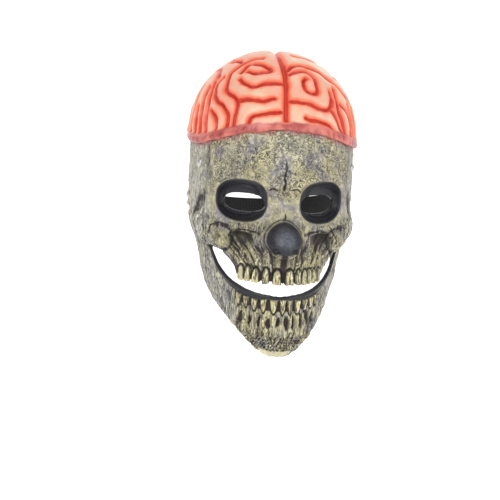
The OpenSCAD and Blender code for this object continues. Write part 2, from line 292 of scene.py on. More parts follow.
SKULL_HALF_W = 78.5
BROW_REACH = 90.0
WALL = 2.5
EYE_Z = -117.0
NOSE_X, NOSE_Z = 0.8, -151.5
TEETH_Z = -193.0
LIP_Z = -206.0
CHIN_Z = -263.0
TEMPLE_Z = -88.0
PIVOT_Z = -122.0
REAR_ANGLE = 97.0
JAW_REAR_ANGLE = 96.0
BRAIN_HALF_W = 82.0
BRAIN_TOP = 20.0
BRAIN_BASE = -62.0
BRAIN_FRONT = 86.0
BRAIN_BACK = 108.0

# Sections of the castings as (height, half width, reach to the front)
SKULL = (0, SKULL_HALF_W, BROW_REACH) + np.array([
    (-40, -2.5, -10), (-66, 0, -6), (-87, 0, -3), (-100, 0, 0), (-110, 0, -2), (-134, 0, -3), (-141, 3.5, -1),
    (-148, 3.5, 2), (-157, 0, 6), (-165, -7.5, 9), (-172, -13.5, 12), (-180, -17.5, 14), (-200, -20.5, 15)])
JAW = (0, SKULL_HALF_W, BROW_REACH) + np.array([
    (-100, 0, -6), (-134, 0, -4), (-149, -2.5, -2), (-158, -6, -2), (-166, -9.5, -1.5), (-178, -12, -1),
    (-186, -13, 0), (-199, -15.7, 1), (-211, -18.2, 2), (-230, -22, 3), (-250, -27, 4.5), (-275, -32.5, 4)])

# Edges as (angle round the head, height)
RIM = np.array([(0, -49), (25, -52), (60, -66), (75, -70), (97, -68), (130, -60), (180, -52)], float)
FACE_EDGE = (0, TEETH_Z) + np.array([
    (0, 0), (36, 1), (42, 3.5), (44.5, 11), (47, 24), (50, 26.5), (60, 27), (68, 32), (74, 42), (78, 54),
    (84, 61), (110, 62)])
LIP = (0, LIP_Z) + np.array([
    (0, 0), (20, 2.5), (35, 7), (46, 13), (56, 23), (62, 34), (66, 48), (70, 70), (76, 89), (84, 93),
    (92, 93), (97, 89)])
CHIN_EDGE = (0, CHIN_Z) + np.array([
    (0, 0), (14, 1), (30, 10), (45, 24), (65, 41), (78, 52), (86, 68), (91, 96), (97, 129)])


def curve(at, table, column=1, reach=5.0):
    """A table read with its corners rounded over `reach` either side."""
    order = np.argsort(table[:, 0])
    keys, values = table[order, 0], table[order, column]
    return sum(np.interp(at + k * reach / 2, keys, values) for k in range(-2, 3)) / 5


def smooth(t):
    """0 below 0, 1 above 1 and an even bend between them."""
    t = np.clip(t, 0, 1)
    return t * t * (3 - 2 * t)


def patch(x, z, centre, radii, inner=0.0):
    """1 inside an ellipse, 0 outside, with a soft border from `inner` to 1."""
    r = np.hypot((x - centre[0]) / radii[0], (z - centre[1]) / radii[1])
    return smooth((1 - r) / (1 - inner))


def oval(x, z, centre, radii, power):
    """Distance from a squarish oval's middle, 1 on its outline."""
    p, q = np.abs((x - centre[0]) / radii[0]), np.abs((z - centre[1]) / radii[1])
    return (p ** power + q ** power) ** (1 / power)


def ridge(distance, width):
    """A rounded ridge, 1 where the distance is 0."""
    return np.exp(-(distance / width) ** 2)


def lattice(x, y, seed):
    """Smooth random values between 0 and 1, one per unit square."""
    table = np.random.RandomState(seed).rand(64, 64)
    i, j = np.floor(x).astype(int), np.floor(y).astype(int)
    u, v = smooth(x - i), smooth(y - j)
    a, b = table[i % 64, j % 64], table[(i + 1) % 64, j % 64]
    c, d = table[i % 64, (j + 1) % 64], table[(i + 1) % 64, (j + 1) % 64]
    return (a * (1 - u) + b * u) * (1 - v) + (c * (1 - u) + d * u) * v


def rough(x, y, seed, octaves=3):
    """Layered random values between -1 and 1."""
    total, weight = 0.0, 0.0
    for k in range(octaves):
        total = total + lattice(x * 2 ** k + 17.3 * k, y * 2 ** k + 5.1 * k, seed + k) * 0.5 ** k
        weight += 0.5 ** k
    return total / weight * 2 - 1


def pits(x, y, seed):
    """Distance to the nearest of one random point per unit square."""
    random = np.random.RandomState(seed)
    px, py = random.rand(64, 64), random.rand(64, 64)
    i, j = np.floor(x).astype(int), np.floor(y).astype(int)
    best = np.full(np.shape(x), 9.0)
    for di in (-1, 0, 1):
        for dj in (-1, 0, 1):
            a, b = (i + di) % 64, (j + dj) % 64
            best = np.minimum(best, np.hypot(i + di + px[a, b] - x, j + dj + py[a, b] - y))
    return best


def widened(field, axis, reach):
    """A grid with its edge values repeated at both ends of an axis."""
    return np.pad(field, [(reach, reach) if k == axis else (0, 0) for k in (0, 1)], mode="edge")


def blur(field, reach):
    """The mean over a square of 2 * reach + 1 cells, run twice, with the edges repeated."""
    for _ in range(2):
        for axis in (0, 1):
            total = np.cumsum(widened(field, axis, reach), axis=axis)
            zero = np.zeros_like(np.take(total, [0], axis=axis))
            total = np.concatenate([zero, total], axis=axis)
            size = 2 * reach + 1
            upper = np.take(total, range(size, total.shape[axis]), axis=axis)
            lower = np.take(total, range(0, total.shape[axis] - size), axis=axis)
            field = (upper - lower) / size
    return field


def lowest(field, reach):
    """The smallest value within `reach` cells along both directions of a grid."""
    for axis in (0, 1):
        count = field.shape[axis]
        wide = widened(field, axis, reach)
        shifted = [np.take(wide, range(k, k + count), axis=axis) for k in range(2 * reach + 1)]
        field = np.min(shifted, axis=0)
    return field


def polyline_distance(x, y, points, thin=0.0):
    """Distance to a line of points; with thin, it grows towards both ends so that a crack tapers."""
    best = np.full(np.shape(x), 1e3)
    count = len(points) - 1
    for k in range(count):
        (ax, ay), (bx, by) = points[k], points[k + 1]
        dx, dy = bx - ax, by - ay
        t = np.clip(((x - ax) * dx + (y - ay) * dy) / (dx * dx + dy * dy), 0, 1)
        along = (k + t) / count
        taper = thin * np.abs(2 * along - 1) ** 3
        best = np.minimum(best, np.hypot(x - ax - t * dx, y - ay - t * dy) + taper)
    return best


# ---------------------------------------------------------------- meshes


def select_only(piece):
    bpy.ops.object.select_all(action="DESELECT")
    piece.select_set(True)
    bpy.context.view_layer.objects.active = piece


def add_piece(name, mesh, material):
    piece = bpy.data.objects.new(name, mesh)
    bpy.context.collection.objects.link(piece)
    mesh.materials.append(material)
    return piece


def shade_smooth(mesh):
    mesh.polygons.foreach_set("use_smooth", [True] * len(mesh.polygons))


def shell_mesh(outer, inner, keep, closed=False, pole=False):
    """Points and faces of a closed shell between two grids; keep marks the cells that have material.

    Faces come back with outer first, so that the inner ones can be thinned out.
    """
    columns, rows = outer.shape[:2]
    grid = np.arange(columns * rows).reshape(columns, rows)
    if pole:
        grid[:, 0] = grid[0, 0]
    across = np.roll(grid, -1, axis=0) if closed else grid[1:]
    base = grid if closed else grid[:-1]
    a, b, c, d = base[:, :-1], across[:, :-1], across[:, 1:], base[:, 1:]
    half = columns * rows
    quads = [np.stack([q[keep] for q in (a, b, c, d)], 1)]
    quads.append(np.stack([q[keep] for q in (d, c, b, a)], 1) + half)

    def wall(cells, first, second):
        p, q = first[cells], second[cells]
        quads.append(np.stack([q, p, p + half, q + half], 1))

    left = np.roll(keep, 1, axis=0) if closed else np.vstack([np.zeros_like(keep[:1]), keep[:-1]])
    right = np.roll(keep, -1, axis=0) if closed else np.vstack([keep[1:], np.zeros_like(keep[:1])])
    above = np.hstack([np.zeros_like(keep[:, :1]), keep[:, :-1]])
    below = np.hstack([keep[:, 1:], np.zeros_like(keep[:, :1])])
    top = keep & ~above
    if pole:
        top[:, 0] = False
    wall(top, a, b)
    wall(keep & ~below, c, d)
    wall(keep & ~left, d, a)
    wall(keep & ~right, b, c)
    points = np.concatenate([outer.reshape(-1, 3), inner.reshape(-1, 3)])
    return points, np.concatenate(quads), half


def latex_piece(name, outer, inner, keep, paints, material, inner_triangles, closed=False, pole=False):
    """A latex casting: a detailed outer skin and a plainer inner skin, thinned to inner_triangles.

    paints holds the values of each painted attribute over the outer and over the inner skin.
    """
    points, faces, half = shell_mesh(outer, inner, keep, closed, pole)
    used = np.unique(faces)
    renumber = np.full(len(points), -1)
    renumber[used] = np.arange(len(used))
    faces = renumber[faces]
    quads = [[v for k, v in enumerate(face) if v != face[k - 1]] for face in faces.tolist()]
    mesh = bpy.data.meshes.new(name)
    mesh.from_pydata((points[used] * MM).tolist(), [], quads)
    piece = add_piece(name, mesh, material)
    for label, (over_outer, over_inner) in paints.items():
        attribute = mesh.attributes.new(label, "FLOAT", "POINT")
        both = np.concatenate([over_outer.reshape(-1), over_inner.reshape(-1)])[used]
        attribute.data.foreach_set("value", both.astype(np.float32))
    inside = piece.vertex_groups.new(name="inside")
    inside.add(np.nonzero(used >= half)[0].tolist(), 1.0, "REPLACE")
    select_only(piece)
    thin = piece.modifiers.new("thin_inside", "DECIMATE")
    thin.vertex_group = "inside"
    outer_triangles = 2 * int(keep.sum())
    thin.ratio = (outer_triangles + inner_triangles) / (2 * outer_triangles)
    bpy.ops.object.modifier_apply(modifier=thin.name)
    shade_smooth(mesh)
    return piece


def round_head(wide, reach, z, theta):
    """Points on a section of the head, from its half width and its reach to the front."""
    return np.stack(np.broadcast_arrays(
        wide * np.sin(np.radians(theta)), -reach * np.cos(np.radians(theta)), z), -1)


def outward(grid):
    """Unit normals of a grid of points, pointing away from the head's middle line."""
    du = np.gradient(grid, axis=0)
    dv = np.gradient(grid, axis=1)
    normal = np.cross(du, dv)
    normal /= np.maximum(np.linalg.norm(normal, axis=2, keepdims=True), 1e-9)
    away = grid * (1, 1, 0)
    flip = np.sign((normal * away).sum(2, keepdims=True))
    return normal * np.where(flip == 0, 1, flip)


# ---------------------------------------------------------------- skull casting

# Teeth as (middle, width), and cracks as lines of (across, height)
UPPER_TEETH = [(-36.4, 5.4), (-31, 5.0), (-24.3, 7.8), (-15.8, 7.4), (-5.6, 10.4), (6.2, 10.2), (14.6, 6.2),
               (20.6, 5.6), (25.8, 4.8), (30.6, 5.0), (35.8, 5.2)]
LOWER_TEETH = [(-36, 5.6), (-30, 6), (-23, 7.8), (-14.9, 7.4), (-5.4, 9.2), (3.3, 7), (10.4, 6.4),
               (17.8, 7.2), (25.4, 6.4), (31.8, 5.8), (37, 5)]
CRACKS = [
    [(0.5, -76), (1.5, -85), (-0.5, -93), (1, -100), (0, -106)], [(1, -127), (2, -131), (0.5, -135)],
    [(45, -138), (49, -142), (52, -147), (54, -153), (52, -158)],
    [(-66, -152), (-65, -144), (-58, -140), (-50, -141), (-46, -146)],
    [(-68, -158), (-66, -165), (-60, -165)], [(66, -150), (64, -143), (57, -139.5)],
    [(6, -106), (12, -104), (17, -108)], [(-5, -107), (-11, -104), (-16, -106)]]


def tooth_row(x, z, teeth, gum, tip, waist, seed):
    """A row of teeth: the crowns, the dark outlines and gaps, and the roots' ridges beyond the gum.

    waist is a tooth's width at the gum as a share of its width at the tip.
    """
    random = np.random.RandomState(seed)
    crown, outline, root = np.zeros_like(x), np.zeros_like(x), np.zeros_like(x)
    for middle, width in teeth:
        reach = gum + random.uniform(-0.8, 0.8)
        along = (reach - z) / (reach - tip)
        half = width / 2 * (waist + (1 - waist) * np.clip(along, 0, 1)) * 0.96
        q = np.hypot((x - middle) / half, np.minimum(along - 0.36, 0) / 0.36)
        crown = np.maximum(crown, smooth((1.02 - q) / 0.32))
        outline = np.maximum(outline, ridge(q - 1.24, 0.2) * smooth((along + 0.25) / 0.15))
        beyond = -along * abs(reach - tip)
        ray = ridge((x - middle) / width, 0.42)
        root = np.maximum(root, ray * smooth(beyond / 3) * smooth((19 - beyond) / 10))
    between = (1 - crown) * smooth(((gum - z) / (gum - tip) - 0.12) / 0.15)
    return crown, np.maximum(outline * (1 - crown), between), root


def skull_surface():
    """The grid of angles and heights over the face, and its cells outside the eye holes.

    The points along each eye hole are moved onto its outline, so that its edge is smooth.
    """
    columns, rows = 400, 184
    s = np.linspace(-1, 1, columns)
    theta = (REAR_ANGLE * (0.9 * s + 0.1 * s ** 3))[:, None]
    top = curve(np.abs(theta), RIM) + 0.5
    edge = curve(np.abs(theta), FACE_EDGE, reach=2.5)
    x_edge = curve(edge, SKULL) * np.sin(np.radians(theta))
    notch = np.zeros_like(x_edge)
    for middle, width in UPPER_TEETH:
        notch = np.maximum(notch, 2.6 * ridge(np.abs(x_edge - middle) - width / 2, 0.9))
    bottom = edge + notch + 0.8 * rough(theta / 3, 0 * theta, 11)
    v = np.linspace(0, 1, rows)[None, :]
    z = top + (bottom - top) * v
    theta = np.broadcast_to(theta, z.shape).copy()

    def hole(theta, z):
        x = curve(z, SKULL) * np.sin(np.radians(theta))
        return np.minimum(oval(np.abs(x), z, (35, EYE_Z - 3), (18, 8.8), 2.5), 3)

    keep = hole((theta[1:, 1:] + theta[:-1, :-1]) / 2, (z[1:, 1:] + z[:-1, :-1]) / 2) > 1
    kept = np.zeros(z.shape, bool)
    lost = np.zeros(z.shape, bool)
    for di in (0, 1):
        for dj in (0, 1):
            kept[di:di + keep.shape[0], dj:dj + keep.shape[1]] |= keep
            lost[di:di + keep.shape[0], dj:dj + keep.shape[1]] |= ~keep
    border = kept & lost
    for _ in range(6):
        value = hole(theta, z) - 1
        gt = (hole(theta + 0.05, z) - 1 - value) / 0.05
        gz = (hole(theta, z + 0.05) - 1 - value) / 0.05
        size = gt ** 2 + gz ** 2 + 1e-9
        theta = np.where(border, theta - value * gt / size, theta)
        z = np.where(border, z - value * gz / size, z)
    return theta, z, keep


def inside_share(shape):
    """1 over the inner skin, 0 for the last rows and columns, which keep the outer paint."""
    share = np.ones(shape)
    share[:, :2] = share[:, -3:] = 0
    return share


def make_skull():
    """The face: large forms that push the skin forwards, fine relief along its normals, and the paint."""
    mean_radius = 84
    theta, z, keep = skull_surface()
    w, f = curve(z, SKULL), curve(z, SKULL, 2)
    sin, cos = np.sin(np.radians(theta)), np.cos(np.radians(theta))
    x = w * sin
    ax = np.abs(x)
    arc = np.radians(theta) * mean_radius
    front = smooth((76 - np.abs(theta)) / 14)

    # The big forms, pressed straight forwards
    socket = oval(ax, z, (37.8, EYE_Z), (22.6, 20.3), 2.4)
    nose_up = np.clip((z - NOSE_Z + 0.5) / 20, 0, 1)
    nose_wide = 17.4 - 4.0 * nose_up ** 3
    nose = np.hypot((x - NOSE_X) / nose_wide, (z - NOSE_Z) / np.where(z > NOSE_Z, 17, 13))
    brow = 4.5 * patch(ax, z, (33, -94), (34, 11)) + 1.5 * patch(ax, z, (8, -98), (12, 10))
    rim = 2.4 * ridge(socket - 1.16, 0.12)
    pit = -11 * smooth((1.02 - socket) / 0.36)
    lid = 0.9 * ridge(socket - 0.66, 0.1)
    nasion = -3.5 * patch(x, z, (0, -108), (12, 10)) + 3 * patch(x, z, (0, -125), (8, 15))
    bulb_r = np.hypot((x - NOSE_X) / 18.6, (z - NOSE_Z) / 17.5)
    bulb = 13.5 * np.clip(1 - bulb_r ** 2, 0, 1) ** 0.6 + 2.5 * smooth((1.25 - bulb_r) / 0.5)
    slot = smooth((-145 - np.abs(ax - 38) * 0.12 - z) / 2.2)
    cheek = -8.5 * patch(ax, z, (38, -153), (15, 15), 0.35) * slot
    knob_r = np.hypot((ax - 56) / 9.5, (z + 154.5) / 11)
    knob = 7.5 * smooth((1.08 - knob_r) / 0.85) + 3 * patch(ax, z, (50, -141.5), (22, 5))
    knob_ring = ridge(knob_r - 1.12, 0.13) * (ax < 62) * smooth((70 - np.abs(theta)) / 10)
    muzzle = 2 * patch(ax, z, (20, -172), (26, 14))
    large = (brow + nasion + cheek + knob + muzzle) * front + bulb + rim + pit + lid
    wrinkle = 0.75 * np.sin(socket * 34) * smooth((0.98 - socket) / 0.2) * smooth((socket - 0.4) / 0.2)

    # Teeth, roots and the nose's rim; the row of teeth curves up towards its ends
    row = z - 0.0015 * x ** 2
    crown, gap, root = tooth_row(x, row, UPPER_TEETH, TEETH_Z + 14.5, TEETH_Z, waist=0.66, seed=5)
    in_mouth = smooth((40 - ax) / 2) * (z < -150)
    crown, gap, root = crown * in_mouth, gap * in_mouth, root * in_mouth
    nose_line = ridge(nose - 1.04, 0.07)
    nostril = patch(np.abs(x - NOSE_X), z, (9.6, NOSE_Z - 8.5), (5.4, 3.6), 0.2)
    philtrum = ridge(x, 2.6) * smooth((-163 - z) / 3)
    fine = 2.2 * crown - 1.6 * gap + 1.9 * root * (1 - crown) - 2.4 * nose_line - 4.5 * nostril
    fine += wrinkle - 1.2 * philtrum

    # Streaks, cracks, temple hollows and the bone's own roughness
    bone = smooth((socket - 1.0) / 0.08) * smooth((nose - 1.02) / 0.06) * (1 - crown)
    fan = arc * (1 + 0.012 * np.clip(-150 - z, 0, 50))
    warp = 2.4 * rough(arc / 9, z / 14, 21)
    comb = rough((fan + warp) / 3.4, z / 20, 31, 3)
    cheek_zone = smooth((-131 - z) / 12) * smooth((nose - 1.05) / 0.2)
    side_zone = smooth((np.abs(theta) - 44) / 14)
    streaked = np.clip(0.12 + 0.9 * cheek_zone + 0.5 * side_zone, 0, 1)
    striation = comb * (0.3 + 1.5 * cheek_zone * smooth((70 - np.abs(theta)) / 20) + 0.35 * side_zone) * bone
    lumps = rough(arc / 6, z / 6, 41) * 0.7 * bone
    grain = rough(arc / 1.7, z / 1.7, 51, 2) * 0.34 * bone
    crack = np.full(x.shape, 99.0)
    for points in CRACKS:
        crack = np.minimum(crack, polyline_distance(x + 0.6 * rough(x / 3, z / 3, 61), z, points, 0.9))
    crack_cut = ridge(crack, 0.8)
    wedge = patch(x, z, (0, -103), (2.6, 5), 0.2)
    groove = ridge(ax - 67 - 1.5 * np.sin(z / 7), 2.6) * smooth((z + 104) / 8) * smooth((-64 - z) / 8)
    temple_ridge = 1.6 * ridge(ax - 62, 3.5) * smooth((z + 112) / 10) * smooth((-60 - z) / 8)
    tilt = (np.abs(theta) - 68) + (z + 126) * 0.32
    fossa = smooth(1.35 - np.hypot(tilt / 6.2, (z + 125) / 15))
    shelf_line = [(22, -147), (27, -145), (38, -143.8), (46, -146), (50, -151)]
    fine = fine + striation + lumps + grain + temple_ridge
    fine += -1.5 * crack_cut - 1.6 * wedge - 1.0 * groove - 2.0 * fossa - 1.3 * knob_ring
    fine += -1.6 * ridge(polyline_distance(ax + rough(x / 4, z / 4, 63), z, shelf_line), 1.5)

    # Nothing stands proud at the top edge, which the brain's lip covers
    top = curve(np.abs(theta), RIM)
    fine *= smooth((top - z) / 3.0)
    base = np.stack([x, -f * cos, z], 2)
    normal = outward(base)
    outer = base.copy()
    outer[..., 1] -= large
    outer += normal * fine[..., None]

    inner = np.stack([(w - WALL) * sin, -(f - WALL) * cos - lowest(large, 3), z], 2)
    inner += normal * (lowest(np.minimum(0, fine), 2) * 0.9)[..., None]

    # Paint: a dark wash in the hollows and cracks, painted shade round the cheek knobs, and painted
    # highlights on the knobs and the nose
    cavity = np.clip((blur(fine, 3) - fine) * 1.25, 0, 1)
    cavity = cavity + 0.6 * np.clip((blur(large, 7) - large) * 0.18, 0, 1)
    black = np.maximum(smooth((1.035 - socket) / 0.06), smooth((1.04 - nose) / 0.07))
    hollow = np.clip(patch(ax, z, (37.5, -151.5), (14, 9), 0.45) * slot + 0.95 * fossa, 0, 1)
    dark_wash_and_shade = np.clip(cavity * bone + gap + 0.9 * crack_cut + 0.9 * wedge + 0.3 * groove + 0.95 * philtrum
                    + hollow * (0.55 + 0.45 * smooth((0.35 - comb) / 0.5)), 0, 1)
    below_nose = smooth((-152 - z) / 10) * smooth((48 - ax) / 6)
    valleys = smooth((0.14 - comb) / 0.34) * below_nose * (1 - crown)
    dark_wash_and_shade = np.clip(dark_wash_and_shade + 0.85 * valleys * (1 - root * 0.75), 0, 1)
    dots = sum(patch(x, z, (middle, -188.5), (0.9, 1.7)) for middle, _ in UPPER_TEETH)
    # Painted shade: a dark ring round the lower inner side of each cheek knob, along its groove
    dark_wash_and_shade = np.clip(dark_wash_and_shade + 0.7 * dots + 0.6 * knob_ring * smooth((0.5 - comb) / 0.7), 0, 1)
    red = smooth((z - top + 6.0 + 3.5 * rough(arc / 7, z / 6, 71)) / 8.0) * 0.75
    # Grey paint towards the sides; inside the black paint the same attribute holds a painted highlight on the
    # nose's ball
    side_grey_and_nose_highlight = smooth((np.abs(theta) - 50) / 16)
    nose_highlight = smooth((1.0 - np.hypot((x - NOSE_X) / 14, (z - NOSE_Z - 2) / 12.5)) / 0.8)
    side_grey_and_nose_highlight = np.where(black > 0.05, nose_highlight * (1 - nostril), side_grey_and_nose_highlight)
    unpainted = 1 - black
    # Yellow on the maxilla and the roots' ridges, and a painted highlight on each cheek knob
    yellow = patch(ax, z, (33, -168), (14, 18), 0.3) + root + 0.8 * smooth((1.0 - knob_r) / 0.5)
    forehead = smooth((z + 118) / 14)
    crackle = np.clip(forehead * (1 - 0.75 * side_grey_and_nose_highlight) + 0.35 * (1 - side_grey_and_nose_highlight), 0, 1) * (1 - crown)
    warm = np.clip(np.maximum(crown, 0.75 * yellow * bone), 0, 1)
    inside = inside_share(x.shape)
    zero = np.zeros_like(x)
    paints = {"dark_wash_and_shade": (dark_wash_and_shade, dark_wash_and_shade * (1 - inside)), "black": (black, black), "red": (red, zero),
              "tooth": (warm, warm * (1 - inside)), "crackle": (crackle * unpainted, zero),
              "streak": (np.maximum(streaked, 0.5 * crown) * unpainted, zero),
              "side_grey_and_nose_highlight": (side_grey_and_nose_highlight, zero), "inside": (zero, inside)}
    piece = latex_piece("skull_face", outer, inner, keep, paints, BONE, 44000)
    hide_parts("skull_casting")
    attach(piece, "mask")


# ---------------------------------------------------------------- brain casting

# Grooves of the front half as (turn round the head, drop from the crown) in degrees; the back has the same,
# turned by half a turn
SULCI = [
    [(-33, 21), (-53, 26), (-59, 37), (-61, 43), (-57, 49), (-53, 58), (-43, 60), (-38, 63), (-37, 68),
     (-38, 75), (-37, 84)],
    [(-48, 41), (-48, 30), (-28, 30), (-17, 34), (-15, 37), (-31, 40), (-43, 38)],
    [(-45, 46), (-40, 49), (-28, 52), (-19, 48), (-1, 47)],
    [(-38, 63), (-28, 61), (-17, 62), (-9, 59)],
    [(-27, 82), (-27, 77), (-25, 73), (-16, 71), (-2, 69)],
    [(-67, 46), (-69, 54), (-60, 65), (-49, 68), (-44, 72), (-42, 79), (-44, 86)],
    [(-61, 72), (-53, 76), (-51, 88)],
    [(-61, 90), (-63, 78), (-65, 68), (-71, 59), (-75, 50)],
    [(-68, 90), (-71, 73), (-75, 65), (-79, 55)],
    [(-75, 90), (-76, 80), (-80, 70)],
    [(4, 35), (11, 30), (33, 30), (45, 35), (51, 42), (60, 49), (66, 59), (76, 68), (84, 76)],
    [(5, 39), (14, 36), (27, 35), (33, 40), (33, 47), (29, 55), (22, 55), (17, 52), (18, 45), (24, 42)],
    [(2, 61), (10, 61), (22, 64), (31, 67), (37, 67), (42, 60), (44, 53)],
    [(13, 72), (19, 74), (29, 76), (35, 79), (37, 86)],
    [(52, 51), (47, 62), (45, 69), (48, 78), (50, 90)],
    [(50, 64), (57, 69), (59, 78), (57, 90)],
    [(37, 67), (41, 72), (44, 80), (45, 90)],
    [(70, 90), (68, 78), (72, 68)], [(80, 90), (78, 82)], [(64, 90), (62, 74), (64, 64)],
    [(-84, 90), (-86, 76), (-90, 66), (-96, 56)], [(-92, 90), (-93, 78)],
    [(35, 15), (60, 21), (76, 29), (92, 33), (108, 28), (118, 31)],
    [(72, 45), (84, 41), (97, 43), (106, 48)]]
# The fleshy lip as (out from the skull's skin, up from its edge), from the dome to the flange in the skull
LIP_PROFILE = np.array([(3.0, 5.2), (3.5, 3.8), (3.9, 2.3), (3.7, 0.7), (2.8, -0.5), (1.6, -0.9), (0.7, -0.4),
                        (0.5, 0.9), (-0.6, 1.2), (-2.0, 1.1), (-2.8, 0.6), (-2.85, -2.5), (-2.85, -6.5)])


def brain_reach(forwards):
    """The dome's half length, from a value that is positive in front and negative behind."""
    return np.where(forwards > 0, BRAIN_FRONT, BRAIN_BACK)


def half_axes(forwards):
    """The dome's three half axes at each point, along X, Y and Z."""
    reach = brain_reach(forwards)
    return np.stack(np.broadcast_arrays(BRAIN_HALF_W, reach, BRAIN_TOP - BRAIN_BASE), -1)


def dome(turn, drop):
    """Points of the brain's dome."""
    d = np.radians(drop)
    return round_head(BRAIN_HALF_W * np.sin(d), brain_reach(np.cos(np.radians(turn))) * np.sin(d),
                      BRAIN_BASE + (BRAIN_TOP - BRAIN_BASE) * np.cos(d), turn)


def sulcus_distance(points):
    """Distance of each point of a grid to the nearest groove."""
    samples = []
    for line in SULCI:
        at = np.array([(drop * math.sin(math.radians(turn)), drop * math.cos(math.radians(turn)))
                       for turn, drop in line])
        s = np.linspace(0, len(at) - 1, 24 * len(at)) + 1
        ends = np.concatenate([at[:1], at, at[-1:]])
        shifts = (-0.3, 0, 0.3)
        p = sum(np.interp(s + shift, range(len(ends)), ends[:, 0]) for shift in shifts) / 3
        q = sum(np.interp(s + shift, range(len(ends)), ends[:, 1]) for shift in shifts) / 3
        turn, drop = np.degrees(np.arctan2(p, q)), np.hypot(p, q)
        samples += [*dome(turn, drop), *dome(turn + 180, drop)]
    tree = KDTree(len(samples))
    for k, sample in enumerate(samples):
        tree.insert(sample, k)
    tree.balance()
    flat = points.reshape(-1, 3)
    return np.array([tree.find(p)[2] for p in flat]).reshape(points.shape[:2])


def make_brain():
    """A dome with grooves cut between its gyri, and a fleshy lip that laps over the skull casting's edge."""
    columns, dome_rows, lip_rows = 420, 164, 26
    t = np.linspace(-180, 180, columns, endpoint=False)[:, None]
    turn = t - 0.3 * np.degrees(np.sin(np.radians(t)))
    rim = curve(np.abs(turn), RIM)
    last = np.degrees(np.arccos((rim + 6 - BRAIN_BASE) / (BRAIN_TOP - BRAIN_BASE)))
    drop = last * np.linspace(0, 1, dome_rows)[None, :]
    skin = dome(turn, drop)
    normal = (skin - (0, 0, BRAIN_BASE)) / half_axes(np.cos(np.radians(turn))) ** 2
    normal /= np.linalg.norm(normal, axis=2, keepdims=True)

    # Gyri
    p, q = drop * np.sin(np.radians(turn)), drop * np.cos(np.radians(turn))
    wander = np.stack([rough(p / 7, q / 7, 81), rough(p / 7, q / 7, 82), rough(p / 7, q / 7, 83)], -1) * 1.1
    d = sulcus_distance(skin + wander)
    pillow = 1 - np.sqrt(1 - (1 - np.clip(d / 8.5, 0, 1)) ** 2)
    cut = 3.6 * pillow + 1.8 * ridge(d, 1.7)
    x = skin[..., 0] + 0.8 * np.sin(q / 9)
    fissure = 4.0 * ridge(x, 2.6) + 1.6 * ridge(x, 7)
    edge_fade = smooth((last - drop) / 3)
    cut = np.maximum(cut, fissure) * edge_fade
    swell = 0.6 * rough(p / 9, q / 9, 84) - 0.6
    outer_dome = skin + normal * (swell * edge_fade - cut)[..., None]
    inner_dome = skin + normal * (lowest(swell * edge_fade - cut, 2) - WALL)[..., None]

    # The lip, from the dome's last row round and down into the skull
    s = np.linspace(0.4, len(LIP_PROFILE) - 1, lip_rows)
    ramp = np.column_stack([np.arange(len(LIP_PROFILE)), LIP_PROFILE])
    out, up = curve(s, ramp, 1, 0.7)[None, :], curve(s, ramp, 2, 0.7)[None, :]
    proud = smooth((out + 0.2) / 1.5)
    folds = rough(turn / 2.6 + 0.3 * np.sin(s), s / 6 + 0 * out, 91, 2)
    out = out + proud * (0.55 * folds - 0.2)
    up = up + proud * (1.5 * rough(turn / 7, 0 * s + 0 * out, 92) + 0.3 * folds)
    behind = smooth((np.abs(turn) - 98) / 14)
    reach = curve(rim, SKULL, 2) * (1 - behind) + (BRAIN_BACK - 5) * behind
    wide = curve(rim, SKULL) * (1 - behind) + SKULL_HALF_W * behind

    share = np.clip(np.arange(1, lip_rows + 1) / lip_rows * 1.15, 0, 1)[None, :, None]
    outer_lip = round_head(wide + out, reach + out, rim + up, turn)
    flange_out, flange_up = LIP_PROFILE[-1]
    flange = round_head(wide + flange_out - WALL, reach + flange_out - WALL, rim + flange_up, turn)
    inner_lip = inner_dome[:, -1:] * (1 - share) + flange * share
    outer = np.concatenate([outer_dome, outer_lip], 1)
    inner = np.concatenate([inner_dome, inner_lip], 1)
    keep = np.ones((columns, outer.shape[1] - 1), bool)

    # Paint
    halo = 0.75 + 0.35 * rough(p / 5, q / 5, 85)
    groove = np.maximum(ridge(d, 2.3 + 1.7 * halo), ridge(x, 4.6 + 1.5 * rough(p / 6, q / 6, 86)))
    flushed = 0.1 + smooth((rough(p / 16, q / 16, 87) - 0.15) / 0.5) * 0.3
    groove = np.clip(groove + flushed * ridge(d, 7.5), 0, 1)
    ragged = 1.5 * rough(turn / 5, skin[..., 2] / 8, 93)
    above = skin[..., 2] - rim
    flesh = smooth((9.0 + ragged - above) / 2.2)
    all_lip = np.ones(outer_lip.shape[:2])
    groove = np.concatenate([groove, 0 * all_lip], 1)
    flesh = np.concatenate([flesh, all_lip], 1)
    creases = np.concatenate([ridge(above - 8.6 - ragged, 1.0), smooth((0.15 - folds) / 0.6) * all_lip], 1)
    inside = np.ones(flesh.shape)
    zero = np.zeros_like(flesh)
    paints = {"groove": (groove, zero), "rim": (flesh, zero), "crease": (creases * flesh, zero),
              "inside": (zero, inside)}
    piece = latex_piece("brain_dome", outer, inner, keep, paints, BRAIN, 34000, closed=True, pole=True)
    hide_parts("brain_casting")
    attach(piece, "mask")


# ---------------------------------------------------------------- jaw casting


